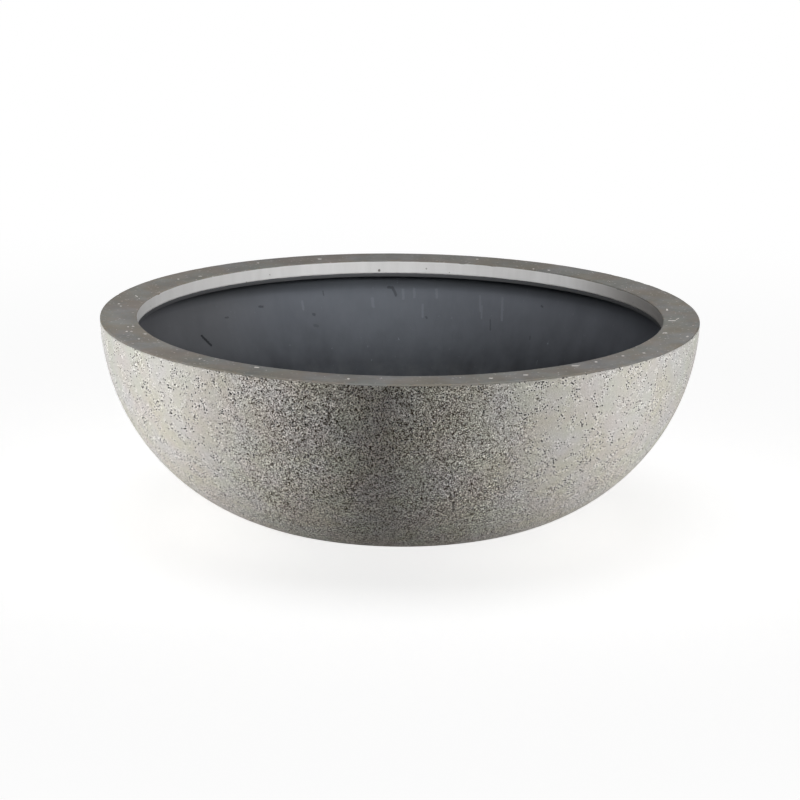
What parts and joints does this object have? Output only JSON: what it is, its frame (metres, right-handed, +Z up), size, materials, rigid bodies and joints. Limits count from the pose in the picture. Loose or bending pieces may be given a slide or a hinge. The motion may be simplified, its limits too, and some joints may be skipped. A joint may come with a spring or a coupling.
{
  "type": "concrete bowl planter",
  "caption": "Low round concrete bowl planter with a wide flat rim turned in over a dark waterproof lining, and a rubber plug in its drain hole.",
  "frame": {"origin": "on the floor, on the bowl's axis", "axes": "+Z up along the bowl's axis; the picture looks along +Y, so its near side is -Y"},
  "size_m": [0.5999, 0.5998, 0.211],
  "materials": {
    "cast_concrete": "matt, sandy grain with fine dark and pale speckle",
    "rim_filler": "rough, hidden inside the rim",
    "fibre_laminate": "rough, trowelled, hidden under the coating",
    "inner_coating": "matt to satin brushed waterproof coating, scuffed",
    "black_rubber": "satin moulded rubber",
    "pad_rubber": "matt rubber"
  },
  "bodies": {
    "bowl": {"concrete_facing": "cast_concrete", "rim_core": "rim_filler", "fibre_laminate": "fibre_laminate", "inner_coating": "inner_coating", "pad_front": "pad_rubber", "pad_right": "pad_rubber", "pad_back": "pad_rubber", "pad_left": "pad_rubber"},
    "plug": {"drain_plug": "black_rubber"}
  },
  "joints": [
    {"name": "plug_lift", "type": "slide", "parent": "bowl", "child": "plug", "axis": [0, 0, 1], "range_m": [0, 0.015]}
  ]
}
